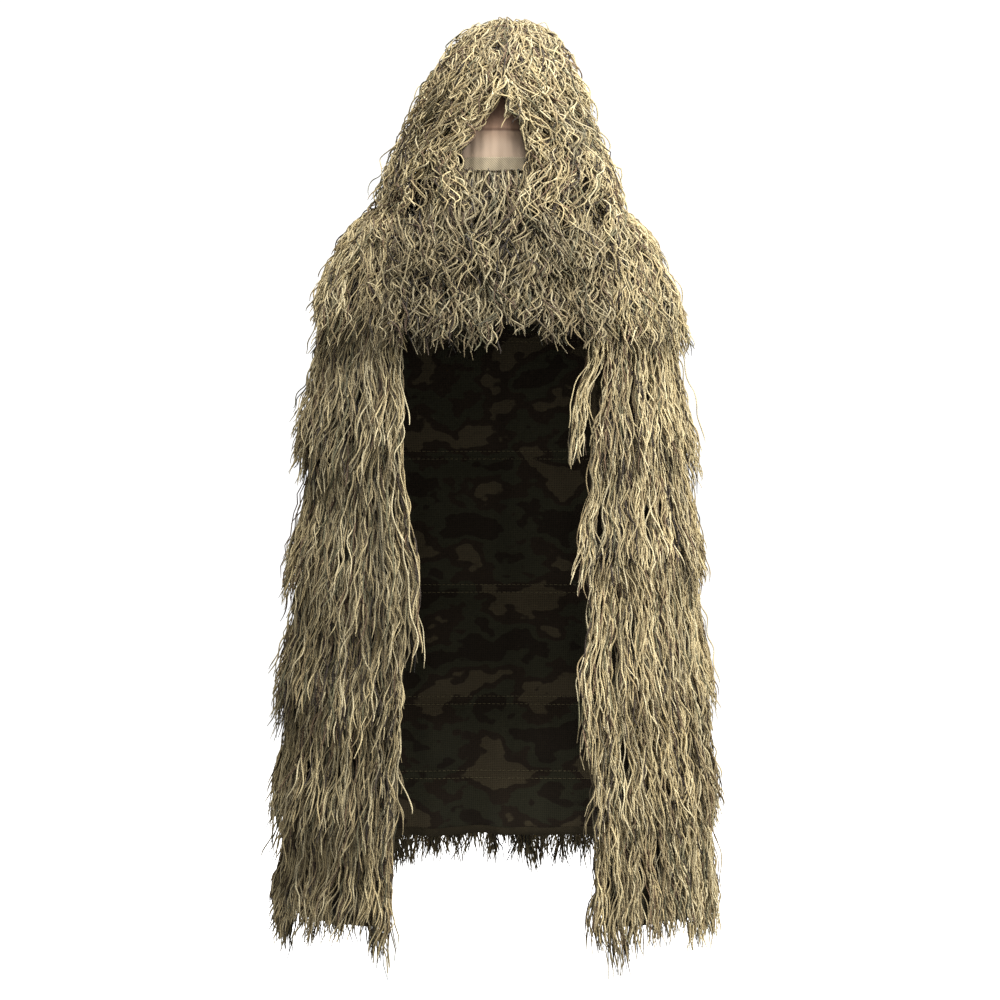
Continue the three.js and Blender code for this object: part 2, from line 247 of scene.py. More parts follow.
# ---- Lanes -----------------------------------------------
# A lane gives the places round a surface at which a piece starts and stops, for each distance down.

seam = cape.share_of_turn(SEAM)

# How far cloth and yarn run past a side seam, as shares of the way round
SEAM_ALLOWANCE, YARN_OVERLAP = 0.010, 0.025

# In metres: how far the panels' yarn passes their front edges, and how far from the middle the
# shoulders' yarn stops
EDGE_OVERHANG = 0.011
SHOULDER_STOP = 0.150


def back_lane(down):
    return np.full_like(down, -seam), np.full_like(down, seam)


def back_cloth_lane(down):
    half = np.full_like(down, seam + SEAM_ALLOWANCE)
    return -half, half


def side_lane(side, past_edge=0.0, overlap=0.0):
    """From a side seam round to the front edge, on the wearer's left (1) or right (-1)."""

    def lane(down):
        edge = cape.front(down, cape.at(down, 4) - past_edge)
        if side > 0:
            return np.full_like(down, seam - overlap), edge
        return np.full_like(down, 1 - seam + overlap), 1 - edge

    return lane


def shoulder_lane(side):
    def lane(down):
        edge = cape.front(down, np.full_like(down, SHOULDER_STOP))
        if side > 0:
            return np.full_like(down, seam), edge
        return np.full_like(down, 1 - seam), 1 - edge

    return lane


def face_half(height):
    """Half width of the face opening at a height in millimetres."""
    rise = (height - FACE_SPRING) / (BROW - FACE_SPRING)
    return FACE_HALF * np.sqrt(1 - np.clip(rise, 0, 1) ** 2)


def face_lane(down):
    """Round the back of the hood from one side of the face opening to the other."""
    half = face_half(hood.at(down, 0) * 1000) / 1000
    left = hood.front(down, FACE_X / 1000 + half)
    right = hood.front(down, FACE_X / 1000 - half)
    return right - 1, left


# [height, X of the strands' edge at the wearer's left, X at the right]
BROW_EDGES = [
    [1150, 26, -40],
    [1250, 40, -50],
    [1318, 53, -57],
    [1340, 49, -38],
    [1358, 42, -28],
    [1379, 33, -18],
    [1408, 17, 2],
    [1430, 12, 5],
    [1452, 10, 7],
    [1505, 14, 13],
    [1556, 18, 18],
]


def brow_lane(down):
    """The same, but to the strands that hang over the opening in an upturned V."""
    height = hood.at(down, 0) * 1000
    heights, lefts, rights = np.array(BROW_EDGES, float).T
    left = hood.front(down, np.interp(height, heights, lefts) / 1000)
    right = hood.front(down, np.interp(height, heights, rights) / 1000)
    return right - 1, left


def whole_lane(down):
    return np.zeros_like(down), np.ones_like(down)


# ---- Meshes ----------------------------------------------


def build(name, points, quads, material, uv=None, tint=None):
    """A smooth-shaded mesh object. uv has a pair for each face corner, tint a colour for each point."""
    mesh = bpy.data.meshes.new(name)
    mesh.vertices.add(len(points))
    mesh.vertices.foreach_set("co", np.ascontiguousarray(points, np.float32).ravel())
    mesh.loops.add(quads.size)
    mesh.loops.foreach_set("vertex_index", np.ascontiguousarray(quads, np.int32).ravel())
    mesh.polygons.add(len(quads))
    mesh.polygons.foreach_set("loop_start", np.arange(0, quads.size, 4, dtype=np.int32))
    mesh.update(calc_edges=True)
    mesh.shade_smooth()
    if uv is not None:
        layer = mesh.uv_layers.new(name="lay")
        layer.data.foreach_set("uv", np.ascontiguousarray(uv, np.float32).ravel())
    if tint is not None:
        colours = mesh.color_attributes.new("tint", "FLOAT_COLOR", "POINT")
        colours.data.foreach_set("color", np.ascontiguousarray(tint, np.float32).ravel())
    mesh.materials.append(material)
    obj = bpy.data.objects.new(name, mesh)
    bpy.context.collection.objects.link(obj)
    return obj


def grid_quads(rows, columns):
    number = np.arange(rows * columns).reshape(rows, columns)
    corners = [number[:-1, :-1], number[1:, :-1], number[1:, 1:], number[:-1, 1:]]
    return np.stack(corners, -1).reshape(-1, 4)


def grid_lay(points):
    """Metres along and down a grid of points, as a texture layout."""
    across = np.linalg.norm(np.diff(points, axis=1), axis=-1).mean(0)
    fall = np.linalg.norm(np.diff(points, axis=0), axis=-1).mean(1)
    u = np.concatenate([[0], np.cumsum(across)])
    v = -np.concatenate([[0], np.cumsum(fall)])
    return np.stack(np.broadcast_arrays(u[None, :], v[:, None]), -1)


def cloth(name, points, material):
    """One thin layer of fabric over a grid of points."""
    rows, columns = points.shape[:2]
    quads = grid_quads(rows, columns)
    lay = grid_lay(points).reshape(-1, 2)
    return build(name, points.reshape(-1, 3), quads, material, lay[quads])


def strip(name, outer, inner, material):
    """A closed band of tape between two grids of points."""
    rows, columns = outer.shape[:2]
    count = rows * columns
    face = grid_quads(rows, columns)
    number = np.arange(count).reshape(rows, columns)
    rim = np.concatenate([
        number[0, :], number[1:, -1], number[-1, -2::-1], number[-2:0:-1, 0],
    ])
    onward = np.roll(rim, -1)
    side = np.stack([rim, onward, onward + count, rim + count], -1)
    quads = np.concatenate([face, face[:, ::-1] + count, side])
    lay = np.tile(grid_lay(outer).reshape(-1, 2), (2, 1))
    points = np.concatenate([outer.reshape(-1, 3), inner.reshape(-1, 3)])
    return build(name, points, quads, material, lay[quads])


# A direction that no strand runs along, and the metres of texture between one strand and the next
TUBE_UP = [0.35, 0.9, 0.25]
TEXTURE_STEP = 0.37


def tubes(name, groups):
    """Yarn or thread, as three-sided tubes. Each group is (paths, radii, colours), with the paths of
    one group all having the same number of points."""
    all_points, all_quads, all_lay, all_tint = [], [], [], []
    start = 0
    for paths, radii, colours in groups:
        n, m = paths.shape[:2]
        ahead = unit(np.gradient(paths, axis=1))
        side = unit(np.cross(ahead, TUBE_UP))
        lift = np.cross(ahead, side)
        turn = np.arange(3) * 2 * math.pi / 3
        ring = side[:, :, None] * np.cos(turn)[:, None] + lift[:, :, None] * np.sin(turn)[:, None]
        points = paths[:, :, None] + ring * radii[:, :, None, None]
        number = start + np.arange(n * m * 3).reshape(n, m, 3)
        turned = np.roll(number, -1, axis=2)
        quads = np.stack([number[:, :-1], turned[:, :-1], turned[:, 1:], number[:, 1:]], -1)
        step = np.linalg.norm(np.diff(paths, axis=1), axis=-1)
        length = np.concatenate([np.zeros((n, 1)), np.cumsum(step, 1)], 1)
        length = length + np.arange(n)[:, None] * TEXTURE_STEP
        v = np.broadcast_to(length[:, :, None], (n, m, 3))
        u = np.broadcast_to(np.arange(3) / 3, (n, m - 1, 3))
        low, high = v[:, :-1], v[:, 1:]
        lay = np.stack([
            np.stack([u, low], -1), np.stack([u + 1 / 3, low], -1),
            np.stack([u + 1 / 3, high], -1), np.stack([u, high], -1),
        ], -2)
        all_points.append(points.reshape(-1, 3))
        all_quads.append(quads.reshape(-1, 4))
        all_lay.append(lay.reshape(-1, 2))
        all_tint.append(np.repeat(colours.reshape(-1, 4), 3, axis=0))
        start += n * m * 3
    return build(name, np.concatenate(all_points), np.concatenate(all_quads), YARN,
                 np.concatenate(all_lay), np.concatenate(all_tint))


# ---- Materials -------------------------------------------


def linear(colour):
    c = np.array(colour, float) / 255
    return np.where(c <= 0.04045, c / 12.92, ((c + 0.055) / 1.055) ** 2.4)


def rgba(colour):
    return (*linear(colour), 1.0)


class Nodes:
    """A material's node tree, with short calls for the nodes used here."""

    def __init__(self, name, roughness, **sockets):
        self.material = bpy.data.materials.new(name)
        self.material.use_nodes = True
        self.tree = self.material.node_tree
        self.shader = self.tree.nodes["Principled BSDF"]
        self.shader.inputs["Roughness"].default_value = roughness
        for socket, value in sockets.items():
            self.shader.inputs[socket.replace("_", " ")].default_value = value

    def add(self, kind, inputs=(), **settings):
        node = self.tree.nodes.new(kind)
        for key, value in settings.items():
            setattr(node, key, value)
        for key, value in dict(inputs).items():
            if isinstance(value, bpy.types.NodeSocket):
                self.tree.links.new(value, node.inputs[key])
            else:
                node.inputs[key].default_value = value
        return node

    def lay(self, scale):
        uv = self.add("ShaderNodeUVMap", uv_map="lay")
        return self.add("ShaderNodeMapping", {"Vector": uv.outputs[0], "Scale": scale}).outputs[0]

    def noise(self, vector, scale, detail=2.0):
        inputs = {"Scale": scale, "Detail": detail}
        if vector is not None:
            inputs["Vector"] = vector
        return self.add("ShaderNodeTexNoise", inputs).outputs["Fac"]

    def ramp(self, factor, stops):
        node = self.add("ShaderNodeValToRGB", {"Fac": factor})
        ends = node.color_ramp.elements
        while len(ends) < len(stops):
            ends.new(0.5)
        for end, (place, colour) in zip(ends, stops):
            end.position = place
            end.color = colour
        return node.outputs["Color"]

    def math(self, operation, a, b):
        return self.add("ShaderNodeMath", {0: a, 1: b}, operation=operation).outputs[0]

    def multiply(self, a, b):
        """One colour times another. Of this node's sockets, 0 is the factor and 6 and 7 the colours."""
        node = self.add("ShaderNodeMix", {0: 1.0, 6: a, 7: b}, data_type="RGBA", blend_type="MULTIPLY")
        return node.outputs[2]

    def finish(self, colour, bump=None, strength=0.3, distance=0.001):
        self.tree.links.new(colour, self.shader.inputs["Base Color"])
        if bump is not None:
            inputs = {"Height": bump, "Strength": strength, "Distance": distance}
            node = self.add("ShaderNodeBump", inputs)
            self.tree.links.new(node.outputs[0], self.shader.inputs["Normal"])
        return self.material


def grey(value):
    return (value, value, value, 1.0)


def yarn_material():
    """Space-dyed yarn: two plies twisted round each other, with a fuzzy surface."""
    n = Nodes("yarn", 0.95, Sheen_Weight=0.15, Sheen_Roughness=0.6, Specular_IOR_Level=0.15)
    dye = n.add("ShaderNodeAttribute", attribute_name="tint").outputs["Color"]
    ply = n.add("ShaderNodeTexWave", {"Vector": n.lay((2, 260, 1)), "Scale": 0.5, "Distortion": 1.5},
                wave_type="BANDS", bands_direction="DIAGONAL").outputs["Fac"]
    fleck = n.noise(n.lay((3, 190, 1)), 2.0)
    # The ply stripes darken the grooves between the plies: painted shade, besides the bump they give.
    shaded = n.multiply(dye, n.ramp(ply, [(0, grey(0.74)), (1, grey(1.08))]))
    flecked = n.multiply(shaded, n.ramp(fleck, [(0.3, grey(0.85)), (0.7, grey(1.12))]))
    return n.finish(flecked, ply, 0.5, 0.0006)


def net_material(colours):
    """Camouflage-printed net: blotches of several colours on a knitted mesh."""
    n = Nodes("camo_net", 0.9, Sheen_Weight=0.1, Specular_IOR_Level=0.2)
    blotch = n.noise(n.lay((0.7, 1, 1)), 13.0, 3.0)
    steps = np.linspace(0.38, 0.62, len(colours))[1:] - 0.04
    stops = [(0.0, rgba(colours[0]))]
    for i, step in enumerate(steps):
        stops += [(step, rgba(colours[i])), (step + 0.012, rgba(colours[i + 1]))]
    printed = n.ramp(blotch, stops)
    warp = n.add("ShaderNodeTexWave", {"Vector": n.lay((1, 1, 1)), "Scale": 95.0},
                 bands_direction="X").outputs["Fac"]
    weft = n.add("ShaderNodeTexWave", {"Vector": n.lay((1, 1, 1)), "Scale": 95.0},
                 bands_direction="Y").outputs["Fac"]
    knit = n.math("MAXIMUM", warp, weft)
    woven = n.multiply(printed, n.ramp(knit, [(0.35, grey(0.55)), (0.8, grey(1.1))]))
    return n.finish(woven, knit, 0.5, 0.0008)


def tape_material(name, colour):
    """Woven twill tape."""
    n = Nodes(name, 0.85, Specular_IOR_Level=0.25)
    twill = n.add("ShaderNodeTexWave", {"Vector": n.lay((1, 1, 1)), "Scale": 160.0, "Distortion": 0.6},
                  bands_direction="DIAGONAL").outputs["Fac"]
    worn = n.noise(n.lay((1, 1, 1)), 30.0, 3.0)
    base = n.ramp(worn, [(0.3, rgba(np.array(colour) * 0.82)), (0.7, rgba(colour))])
    woven = n.multiply(base, n.ramp(twill, [(0.2, grey(0.7)), (0.8, grey(1.05))]))
    return n.finish(woven, twill, 0.5, 0.0006)


def veil_material():
    """Fine sheer knit in two tones, joined across by a seam."""
    n = Nodes("veil", 0.8, Sheen_Weight=0.2, Specular_IOR_Level=0.2)
    uv = n.add("ShaderNodeUVMap", uv_map="lay").outputs[0]
    fall = n.add("ShaderNodeSeparateXYZ", {0: uv}).outputs["Y"]
    seam_at = -(VEIL_TOP - VEIL_SEAM) / 1000
    wander = n.math("MULTIPLY", n.noise(n.lay((1, 0.1, 1)), 18.0), 0.006)
    above_seam = n.math("SUBTRACT", n.math("ADD", fall, wander), seam_at)
    place = n.math("ADD", n.math("MULTIPLY", above_seam, 20.0), 0.5)
    tone = n.ramp(place, [(0.0, rgba((158, 138, 118))), (0.42, rgba((152, 128, 107))),
                          (0.5, rgba((104, 80, 66))), (0.58, rgba((140, 112, 92))),
                          (1.0, rgba((118, 92, 76)))])
    folds = n.noise(n.lay((1, 0.12, 1)), 60.0, 2.0)
    # The fold noise makes the colour slightly darker and lighter across the folds: painted shade and
    # light, besides the bump it gives.
    shaded = n.multiply(tone, n.ramp(folds, [(0.3, grey(0.94)), (0.7, grey(1.04))]))
    knit = n.add("ShaderNodeTexChecker", {"Vector": uv, "Scale": 700.0}).outputs["Fac"]
    woven = n.multiply(shaded, n.ramp(knit, [(0, grey(0.9)), (1, grey(1.04))]))
    return n.finish(woven, folds, 0.3, 0.002)


def metal_material():
    """Blackened brass snap, worn lighter in places."""
    n = Nodes("snap_metal", 0.42, Metallic=0.85)
    wear = n.noise(None, 240.0, 3.0)
    worn = n.ramp(wear, [(0.4, rgba((44, 40, 34))), (0.72, rgba((112, 98, 74)))])
    return n.finish(worn, wear, 0.2)


YARN = yarn_material()
NET = net_material([(50, 42, 32), (66, 64, 48), (58, 48, 37), (92, 82, 62)])
VEIL = veil_material()
# The olive tape is coloured darker than its own olive: partly painted shade, for the edge bindings that
# lie in shade.
TAPE = tape_material("olive_tape", (78, 69, 50))
HEM = tape_material("veil_tape", (150, 137, 113))
HEADER = tape_material("header_tape", (84, 76, 54))
METAL = metal_material()

# ---- Yarn ------------------------------------------------

# Dye colours, how common each is, and how much commoner deep in a row, where darker dyes are painted
# shade
DYES = [
    ((208, 193, 153), 0.17, 1.0),
    ((194, 177, 134), 0.30, 1.0),
    ((174, 156, 114), 0.25, 1.0),
    ((150, 132, 96), 0.13, 1.2),
    ((112, 107, 78), 0.06, 1.5),
    ((108, 86, 63), 0.06, 1.8),
    ((60, 49, 38), 0.05, 2.5),
]
THREAD = (150, 138, 104)


def dye(rng, count, share, depth):
    """Colours for each point of some strands. share is how far along a strand each point is; strands
    deeper in the row get darker dyes more often and are darkened, as painted shade."""
    palette = np.array([linear(colour) for colour, _, _ in DYES])
    odds = np.array([odd for _, odd, _ in DYES])
    # Deeper strands pick the darker dyes more often: painted shade.
    deep_odds = odds * np.array([shade_weight for _, _, shade_weight in DYES])
    bright = rng.choice(len(DYES), count, p=odds / odds.sum())
    shaded_pick = rng.choice(len(DYES), count, p=deep_odds / deep_odds.sum())
    pick = np.where(depth > rng.uniform(0, 1, count), bright, shaded_pick)
    # Painted shade: deeper strands are darkened as though shaded by the strands over them.
    shade = 0.26 + 0.74 * smoothstep(depth, -0.05, 0.75)
    base = palette[pick] * rng.uniform(0.85, 1.12, (count, 1)) * shade[:, None]
    bands = 1 + 0.16 * np.sin(share * rng.uniform(5, 16, (count, 1)) + rng.uniform(0, 7, (count, 1)))
    colour = base[:, None, :] * bands[:, :, None]
    return np.concatenate([colour, np.ones((*colour.shape[:2], 1))], -1)


def wave(rng, count, distance, short, long):
    """Smooth sideways wandering along a strand, between -1 and 1."""
    length = rng.uniform(short, long, (count, 1))
    return np.sin(distance / length * 2 * math.pi + rng.uniform(0, 7, (count, 1)))


# Metres of row to each tuft, and shares of a row's length at which its room is given
TUFT = 0.024
ROOM_PLACES = np.array([0.0, 0.12, 0.62, 1.0])


def tuft_values(rng, row, start, width):
    """What each strand shares with the rest of its tuft, as columns with one value for each strand:
    the tuft's middle, lean, length, bulk, tone (a random tone times the row's painted shade), sweep
    past the edge, and wave's length and phase."""
    tufts = max(2, round(width / TUFT))
    middle = (np.arange(tufts) + rng.uniform(0.2, 0.8, tufts)) / tufts
    lean = rng.normal(0, 0.011 * row["curl"] ** 0.5, tufts)
    lean[1:] = lean[1:] * 0.6 + lean[:-1] * 0.4
    hang = rng.uniform(0.82, 1.06, tufts)
    bulk = rng.normal(0, 0.004, tufts)
    # Each tuft's random tone, times the row's tone, which is painted shade for rows in shade.
    tone = rng.uniform(0.80, 1.12, tufts) * row["tone"]
    sweep = row["sweep"] * rng.uniform(0.2, 1.0, tufts)
    pace = rng.uniform(0.085, 0.16, tufts)
    phase = rng.uniform(0, 7, tufts)
    if row["trim"]:
        hang = hang * row["trim"](middle)
    tuft = np.clip((start * tufts).astype(int), 0, tufts - 1)
    return [values[tuft] for values in (middle, lean, hang, bulk, tone, sweep, pace, phase)]


def strays(rng, t, start, distance, width, curl):
    """Sideways fall of the few strands that run aslant, unless they would leave the row."""
    slant = np.where(rng.uniform(0, 1, start.shape) < 0.06 * curl, rng.normal(0, 0.17, start.shape), 0)
    end = start + slant * distance[:, -1:] / width
    slant = np.where((end > 0.03) & (end < 0.97), slant, 0)
    return slant * distance * smoothstep(t, 0.15, 0.5)


def loops(rng, t, shape, curl):
    """Small loops in a few strands: how far each point goes sideways, and how far back up."""
    looped = rng.uniform(0, 1, shape) < 0.13 * (curl - 1)
    spot = rng.uniform(0.35, 0.75, shape)
    girth = rng.uniform(0.006, 0.012, shape) * looped
    turn = np.clip((t - spot) / 0.16, -1, 1) * math.pi
    return girth * (1 + np.cos(turn)) * rng.choice([-1, 1], shape), girth * np.sin(turn) * 1.6


def strand_group(rng, row, length, count, segments, layer):
    """Paths, radii and colours for some strands of one row. layer is their range of depths in the row,
    from 0 next to the fabric to 1 outermost. Columns hold a value for each strand, and t is the share
    of the way along it."""
    surface, lane, curl, top = row["surface"], row["lane"], row["curl"], row["top"]
    column = (count, 1)
    t = np.linspace(0, 1, segments + 1)[None, :]
    start = (np.arange(count)[:, None] + rng.uniform(0, 1, column)) / count
    halfway = np.array([surface.drop(top) + length * 0.5])
    low, high = lane(halfway)
    ring = surface.point(np.repeat(halfway, 65), np.linspace(low[0], high[0], 65))
    width = np.linalg.norm(np.diff(ring, axis=0), axis=-1).sum()
    middle, lean, hang, bulk, tone, sweep, pace, phase = tuft_values(rng, row, start, width)

    # Along the strand
    scallop = 1 + 0.07 * np.sin((start * rng.uniform(1.2, 2.6) + rng.uniform(0, 1)) * 2 * math.pi)
    reach = hang * rng.uniform(row["ragged"], 1.06, column) * (1 + row["slope"] * (start - 0.4))
    distance = t * (reach * scallop * length)
    swing = smoothstep(t, 0.0, 0.18)

    # Sideways: strands gather into their tuft and part again at the end, wave, stray and loop.
    gather = smoothstep(t, 0.08, 0.7) * rng.uniform(0.2, 0.85, column)
    part = smoothstep(t, 0.6, 1.0) * rng.normal(0, 0.009, column)
    sideways = (middle - start) * width * gather + lean * t ** 1.4 + part
    sideways = sideways + smoothstep(start, 0.76, 1.0) * sweep * smoothstep(t, 0.05, 0.9)
    shared = np.sin(distance / pace * 2 * math.pi + (phase + rng.normal(0, 0.7, column)))
    sideways = sideways + swing * (
        0.0042 * curl * shared
        + 0.0030 * curl * wave(rng, count, distance, 0.062, 0.115)
        + 0.0011 * curl * wave(rng, count, distance, 0.038, 0.06)
        + 0.0036 * max(curl - 0.85, 0) * wave(rng, count, distance, 0.032, 0.055))
    sideways = sideways + strays(rng, t, start, distance, width, curl)
    loop, loop_rise = loops(rng, t, column, curl)
    sideways = sideways + loop

    # Out from the fabric
    depth = rng.uniform(*layer, column)
    inner, outer = [np.interp(t, ROOM_PLACES, limits) for limits in zip(*row["room"])]
    out = inner + (outer - inner) * depth + swing * bulk
    out = out + swing * 0.0022 * (0.5 + curl) * wave(rng, count, distance, 0.035, 0.09)
    is_loose = rng.uniform(0, 1, column) < 0.03 * curl
    loose = np.where(is_loose, rng.uniform(0.3, 1.0, column) * row["loose"], 0)
    out = np.maximum(out + loose * np.sin(t * math.pi * 0.8), 0.0015)

    # Down the fabric
    crest = row["crest"](start) if row["crest"] else 0
    arc = row["lift"] * rng.uniform(0.2, 1.0, column) * np.sin(np.clip(t / 0.3, 0, 1) * math.pi)
    down = surface.drop(top) + rng.uniform(-0.006, 0.006, column) + crest + distance - arc
    down = down + swing * 0.002 * curl * wave(rng, count, distance, 0.045, 0.08) - loop_rise
    low, high = lane(down.ravel())
    low, high = low.reshape(down.shape), high.reshape(down.shape)

    # Past the ends of the lane, a strand is held to less and less spill.
    share = start + sideways / width
    over = np.maximum(share - 1, 0) + np.minimum(share, 0)
    spill = row["spill"]
    share = share - over + np.tanh(over * width / spill) * spill / width
    paths = surface.place(down, low + (high - low) * share, out)
    rooted = 1 - smoothstep(t, 0.0, 0.4)
    aside = np.clip(rng.normal(0, 1, (count, 1, 2)), -1.4, 1.4) * row["scatter"]
    paths[:, :, :2] += aside * rooted[:, :, None]
    paths[:, :, 2] += 0.15 * np.linalg.norm(aside, axis=-1) * rooted

    thick = rng.uniform(0.0010, 0.0015, column) * (0.92 + 0.04 * curl)
    taper = 1 - 0.55 * smoothstep(t, 0.93, 1.0)
    radii = thick * taper * (1 + 0.12 * wave(rng, count, distance, 0.02, 0.05))
    colours = dye(rng, count, t, depth[:, 0])
    colours[:, :, :3] *= tone[:, :, None]
    return paths, radii, colours


ROOM = [(0.003, 0.009), (0.004, 0.012), (0.011, 0.028), (0.015, 0.038)]

# Metres between a strand's points, for those in front and those behind them
FINE_STEP, PLAIN_STEP = 0.0064, 0.020


def fringe(name, surface, lane, top, end, count, seed, curl=1.0, room=ROOM, front=0.3, spill=0.02,
           slope=0.0, crest=None, ragged=0.78, lift=0.0, sweep=0.0, scatter=0.0, tone=1.0,
           loose=0.016, trim=None):
    """One sewn row of hanging yarn, from a height to its ragged end, in millimetres. room is the row's
    inner and outer distance from the fabric at four places along it. front is the share of the strands
    that lie outermost, and spill how far they may pass the lane's ends. slope lengthens the row towards
    its far edge, crest lowers a strand's sewn end by its place across the row, ragged is the shortest
    strand's share of the length, lift is how far strands rise before they fall, sweep is how far locks
    hang past the far edge, scatter spreads the sewn ends, tone darkens the yarn as painted shade for a
    row in shade, loose is how far the stray strands stand out, and trim shortens locks by their place
    across the row."""
    rng = np.random.default_rng(seed)
    row = dict(surface=surface, lane=lane, top=top, curl=curl, room=room, spill=spill, slope=slope,
               crest=crest, ragged=ragged, lift=lift, sweep=sweep, scatter=scatter, tone=tone,
               loose=loose, trim=trim)
    length = surface.drop(end) - surface.drop(top)
    fine = max(12, round(length / FINE_STEP))
    plain = max(7, round(length / PLAIN_STEP))
    visible = round(count * front)
    return tubes(name, [
        strand_group(rng, row, length, visible, fine, (0.55, 1.0)),
        strand_group(rng, row, length, count - visible, plain, (0.0, 0.7)),
    ])


# ---- Fabric panels ---------------------------------------


class Folds:
    """Soft vertical folds of a hung panel, which deepen downwards and are held in by its sewn rows."""

    def __init__(self, surface, lane, top, bottom, fold, seed, rows=()):
        self.surface, self.lane, self.fold = surface, lane, fold
        self.top, self.bottom = surface.drop(top), surface.drop(bottom)
        self.rows = [surface.drop(row) + 0.006 for row in rows]
        rng = np.random.default_rng(seed)
        self.waves = [(cycles, rng.uniform(0, 1), rng.uniform(-0.6, 0.6)) for cycles in (3.3, 5.7, 9.1)]

    def out(self, down, share):
        """How far the fabric stands from its surface: always inwards."""
        t = (down - self.top) / (self.bottom - self.top)
        sway = sum(np.sin((share * cycles + phase + drift * t) * 2 * math.pi) / cycles
                   for cycles, phase, drift in self.waves)
        held = sum(np.exp(-(((down - row) / 0.03) ** 2)) for row in self.rows)
        return -self.fold * (0.5 - sway) * (0.35 + 0.65 * t) * (1 - 0.75 * np.minimum(held, 1)) - 0.001

    def place(self, down, share, out=0.0):
        low, high = self.lane(down)
        return self.surface.place(down, low + (high - low) * share, self.out(down, share) + out)

    def grid(self, rows, columns):
        down = np.repeat(np.linspace(self.top, self.bottom, rows), columns)
        share = np.tile(np.linspace(0, 1, columns), rows)
        return self.place(down, share).reshape(rows, columns, 3)

    def hem_band(self, columns):
        """Both faces of the tape over the panel's lower edge."""
        down = np.repeat(self.bottom + np.linspace(-0.012, 0.002, 3), columns)
        share = np.tile(np.linspace(0, 1, columns), 3)
        return [self.place(down, share, out).reshape(3, columns, 3) for out in (0.0014, -0.0014)]

    def stitch_lines(self):
        """Lines of points on the inner face, where the rows of yarn are sewn through."""
        share = np.linspace(0.01, 0.99, 161)
        return [self.place(np.full_like(share, row + shift), share, -0.0009)
                for row in self.rows for shift in (-0.006, 0.008)]


def row_band(surface, lane, top, width, columns, low_out, high_out):
    """Both faces of a tape that runs round the surface at a height, width metres deep."""
    down = surface.drop(top) + np.linspace(-0.002, width, 3)
    low, high = lane(down)
    round_ = low[:, None] + (high - low)[:, None] * np.linspace(0.004, 0.996, columns)[None, :]
    return (surface.place(down[:, None], round_, np.full((3, columns), high_out)),
            surface.place(down[:, None], round_, np.full((3, columns), low_out)))


def join(name, parts):
    """Joins several new mesh objects into one piece."""
    for obj in bpy.context.selected_objects:
        obj.select_set(False)
    for obj in parts:
        obj.select_set(True)
    bpy.context.view_layer.objects.active = parts[0]
    bpy.ops.object.join()
    parts[0].name = name
    parts[0].data.name = name
    parts[0].select_set(False)
    return parts[0]


def headers(name, lane, rows):
    """The tapes that rows of yarn are sewn to the cape by."""
    parts = []
    for i, row in enumerate(rows):
        outer, inner = row_band(cape, lane, row + 6, 0.020, 49, 0.0008, 0.0026)
        parts.append(strip(f"{name}_{i}", outer, inner, HEADER))
    return join(name, parts)


def stitches(name, folds):
    """Thread stitches on the inner face, in two lines along each row of yarn."""
    groups = []
    for line in folds.stitch_lines():
        run = np.concatenate([[0], np.cumsum(np.linalg.norm(np.diff(line, axis=0), axis=-1))])
        starts = np.arange(0.004, run[-1] - 0.008, 0.0085)
        spots = starts[:, None] + np.array([0.0, 0.0027, 0.0055])[None, :]
        paths = np.stack([np.interp(spots, run, line[:, k]) for k in range(3)], -1)
        radii = np.full(paths.shape[:2], 0.00055)
        colours = np.broadcast_to(rgba(THREAD), (*paths.shape[:2], 4))
        groups.append((paths, radii, colours))
    return tubes(name, groups)


YARN_SLOT, NET_SLOT, TAPE_SLOT, VEIL_SLOT = "yarn", "camo_mesh", "tape", "veil_mesh"


def attach(obj, body, slot, *nodes, bends=False):
    """Hides the CAD solids that a piece stands for. A piece that doesn't bend is parented to its body's
    empty; one that bends is only fixed in world space where it stands. slot is not used."""
    if nodes:
        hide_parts(*nodes)
    if bends:
        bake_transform(obj)
    else:
        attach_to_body(obj, body)
    return obj


# ---- Back, yoke and shoulders ----------------------------


def yoke_lane(down):
    edge = cape.front(down, cape.at(down, 4))
    return -edge, edge


yoke_folds = Folds(cape, yoke_lane, YOKE_TOP, YOKE_BOTTOM, 0.003, 11)
yoke = attach(cloth("cloth_yoke", yoke_folds.grid(40, 181), NET),
              "cape", NET_SLOT, "yoke_back", "yoke_left", "yoke_right")
back_folds = Folds(cape, back_cloth_lane, YOKE_BOTTOM + BACK_TUCK, BACK_HEM + BACK_LIFT, 0.032, 12,
                   BACK_HEADS)
back = attach(cloth("cloth_back", back_folds.grid(170, 141), NET),
              "cape", NET_SLOT, "back_panel")
outer, inner = row_band(cape, yoke_lane, YOKE_TOP + 9, 0.012, 91, -0.003, 0.002)
neck_tape = attach(strip("neck_tape", outer, inner, TAPE), "cape", TAPE_SLOT, "neck_binding")
outer, inner = back_folds.hem_band(141)
back_hem = attach(strip("back_hem", outer, inner, TAPE), "cape", TAPE_SLOT, "back_hem_tape")
back_headers = attach(headers("back_headers", back_lane, BACK_HEADS), "cape", TAPE_SLOT)
back_stitches = attach(stitches("back_stitches", back_folds), "cape", TAPE_SLOT)


def side_notch(start):
    """The right shoulder's row is shorter over the arm."""
    return 1 - 0.17 * np.exp(-(((start - 0.36) / 0.18) ** 2))


